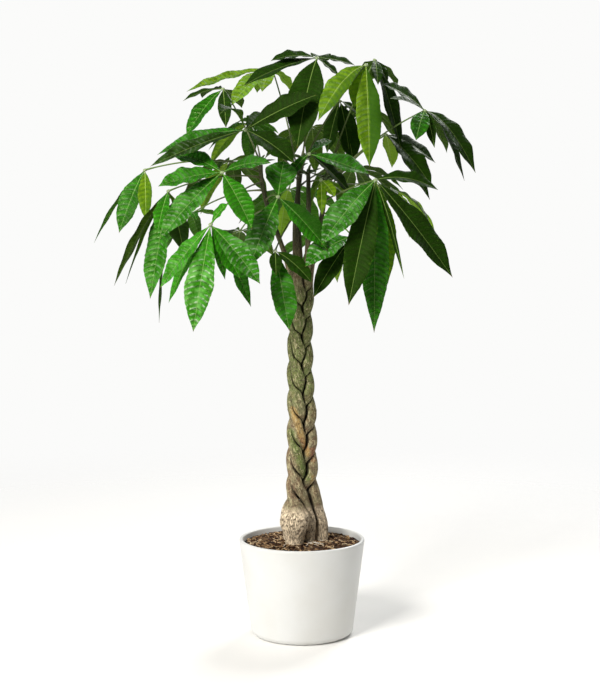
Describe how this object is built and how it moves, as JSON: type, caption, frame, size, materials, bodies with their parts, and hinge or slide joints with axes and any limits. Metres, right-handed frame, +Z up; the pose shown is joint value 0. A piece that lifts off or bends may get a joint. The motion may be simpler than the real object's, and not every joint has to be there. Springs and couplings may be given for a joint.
{
  "type": "potted money tree",
  "caption": "Potted tree with a plaited trunk of slender stems, hand-shaped glossy leaves on long stalks, and a plain tapered round planter filled with soil.",
  "frame": {"origin": "middle of the planter's underside", "axes": "+Z up, the front of the plant toward -Y"},
  "size_m": [0.7611, 0.6041, 1.1767],
  "materials": {
    "ceramic": "smooth matt glaze, warm white",
    "soil": "moist potting soil with reddish bark chips",
    "bark": "smooth green-grey young bark, corky and beige at the foot",
    "leaf_dark": "dark green leaf with a waxy gloss",
    "leaf_green": "glossy mid-green leaf with raised side veins",
    "leaf_pale": "young yellow-green leaf, lit through"
  },
  "bodies": {
    "root": {"pot": "ceramic", "soil": "soil", "stem_1": "bark", "stem_2": "bark", "stem_3": "bark", "stem_4": "bark", "stem_5": "bark", "leaf_01": "leaf_dark", "leaf_02": "leaf_pale", "leaf_03": "leaf_dark", "leaf_04": "leaf_dark", "leaf_05": "leaf_green", "leaf_06": "leaf_green", "leaf_07": "leaf_green", "leaf_08": "leaf_green", "leaf_09": "leaf_green", "leaf_10": "leaf_pale", "leaf_11": "leaf_dark", "leaf_12": "leaf_dark", "leaf_13": "leaf_dark", "leaf_14": "leaf_pale", "leaf_15": "leaf_dark", "leaf_16": "leaf_dark", "leaf_17": "leaf_pale", "leaf_18": "leaf_dark", "leaf_19": "leaf_dark", "leaf_20": "leaf_dark", "leaf_21": "leaf_green", "leaf_22": "leaf_dark", "leaf_23": "leaf_dark", "leaf_24": "leaf_green", "leaf_25": "leaf_dark", "leaf_26": "leaf_green", "leaf_27": "leaf_dark", "leaf_28": "leaf_green", "leaf_29": "leaf_dark"}
  },
  "joints": []
}
